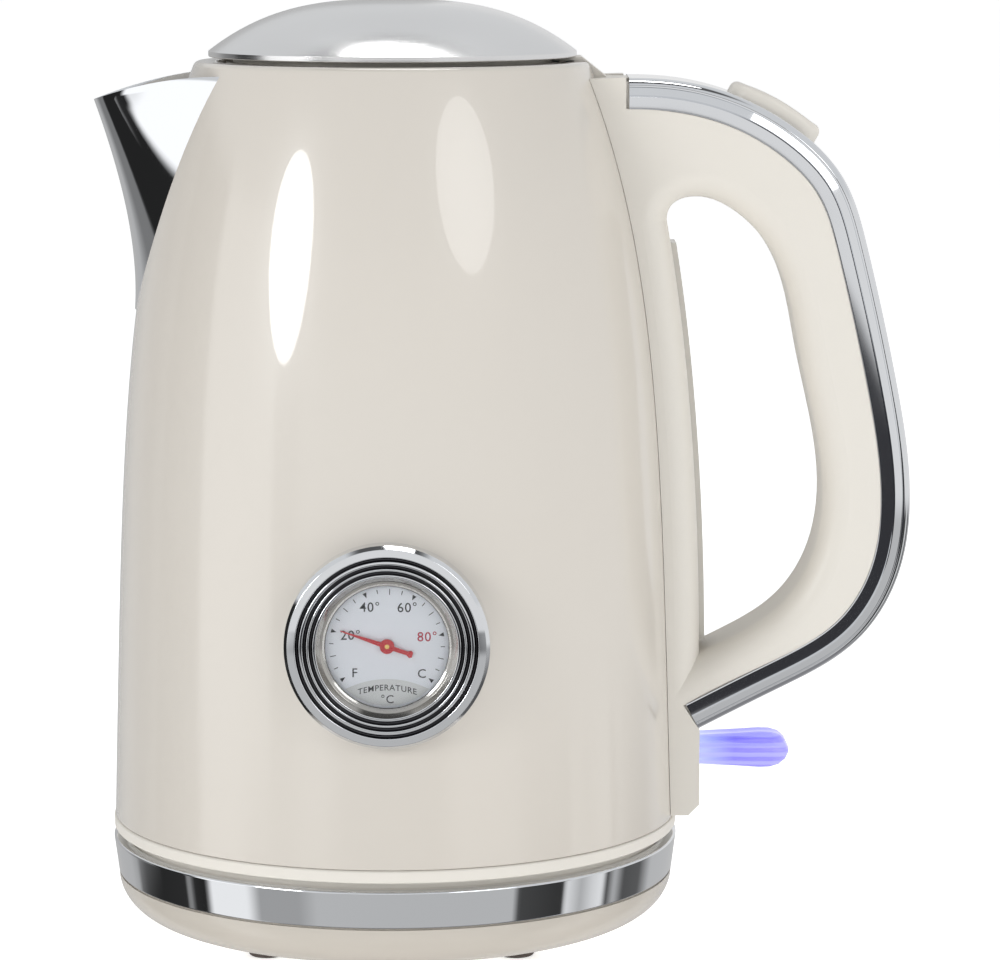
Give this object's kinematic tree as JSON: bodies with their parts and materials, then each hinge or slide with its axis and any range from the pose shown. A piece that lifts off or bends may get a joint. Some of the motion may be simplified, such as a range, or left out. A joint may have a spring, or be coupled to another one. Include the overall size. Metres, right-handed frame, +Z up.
{
  "type": "electric kettle",
  "caption": "Cordless electric kettle on a round power base, with a hinged lid, wide spout, loop handle, lit switch lever and a round dial thermometer.",
  "frame": {"origin": "centre of the power base on the table, on the kettle's own upright axis", "axes": "+Z up, +X towards the handle, -Y towards the thermometer"},
  "size_m": [0.2214, 0.1591, 0.2528],
  "materials": {
    "cream_paint": "gloss baked enamel",
    "cream_plastic": "gloss moulded",
    "chrome": "polished",
    "steel": "satin polished",
    "dark_plastic": "satin moulded",
    "rubber": "soft matt",
    "silicone": "soft matt",
    "brass": "polished",
    "aluminium": "cast",
    "clear": "clear moulded",
    "smoked_clear": "clear moulded with a frosted back",
    "lever_glow": "clear blue, lit from inside",
    "led": "lit",
    "dial_white": "printed card",
    "needle_red": "gloss",
    "circuit_board": "lacquered"
  },
  "bodies": {
    "power_base": {"base_tray": "cream_plastic", "base_ring": "chrome", "base_pan": "cream_plastic", "base_feet": "rubber", "base_screws": "steel", "base_connector": "dark_plastic", "base_contacts": "brass", "cord_gland": "dark_plastic"},
    "plug_half": {"kettle_socket": "dark_plastic", "socket_pins": "brass"},
    "kettle": {"kettle_skirt": "cream_plastic", "underside_plate": "dark_plastic", "underside_screws": "steel", "body_shell": "cream_paint", "lid_collar": "dark_plastic", "spout": "chrome", "filter_frame": "dark_plastic", "filter_mesh": "steel", "handle_bracket": "steel", "handle_trim": "chrome", "handle_grip": "cream_plastic", "handle_screws": "steel", "level_window": "smoked_clear", "window_gasket": "silicone", "lid_hinge_pin": "steel", "lid_springs": "steel", "element_plate": "steel", "plate_seal": "silicone", "heat_spreader": "aluminium", "heating_element": "steel", "control_unit": "dark_plastic", "control_bimetals": "brass", "steam_tube": "dark_plastic", "switch_pivot_pin": "steel", "led_board": "circuit_board", "indicator_led": "led", "gauge_bezel": "chrome", "gauge_ring": "chrome", "gauge_lens": "clear", "gauge_dial": "dial_white", "gauge_case": "steel", "gauge_probe": "steel", "gauge_coil": "brass", "gauge_gasket": "silicone", "gauge_nut": "steel", "latch_spring": "steel"},
    "lid": {"lid_dome": "steel", "lid_liner": "cream_plastic", "lid_seal": "silicone", "lid_arm": "cream_plastic", "lid_screws": "steel"},
    "lid_button": {"lid_button": "cream_plastic"},
    "latch": {"latch_bar": "dark_plastic"},
    "switch": {"switch_lever": "lever_glow"},
    "needle": {"gauge_needle": "needle_red", "gauge_spindle": "steel"}
  },
  "joints": [
    {"name": "kettle_lift", "type": "slide", "parent": "power_base", "child": "plug_half", "axis": [0, 0, 1], "range_m": [0, 0.08]},
    {"name": "kettle_turn", "type": "hinge", "parent": "plug_half", "child": "kettle", "pos_m": [0, 0, 0.03], "axis": [0, 0, 1], "continuous": true},
    {"name": "lid_hinge", "type": "hinge", "parent": "kettle", "child": "lid", "pos_m": [0.0589, 0, 0.2285], "axis": [0, 1, 0], "range_deg": [0, 78]},
    {"name": "button_press", "type": "slide", "parent": "kettle", "child": "lid_button", "axis": [-0.4848, 0, -0.8746], "range_m": [0, 0.003], "stiffness_N_per_m": 300},
    {"name": "latch_draw", "type": "slide", "parent": "kettle", "child": "latch", "axis": [1, 0, 0], "range_m": [0, 0.003], "deforming": ["latch_spring"]},
    {"name": "switch_tip", "type": "hinge", "parent": "kettle", "child": "switch", "pos_m": [0.07, 0, 0.047], "axis": [0, -1, 0], "range_deg": [0, 12]},
    {"name": "needle_turn", "type": "hinge", "parent": "kettle", "child": "needle", "pos_m": [0, -0.0755, 0.0895], "axis": [0, 1, 0], "range_deg": [-56, 200]}
  ],
  "couplings": [
    {"joint": "latch_draw", "follows": "button_press", "ratio": 1}
  ]
}
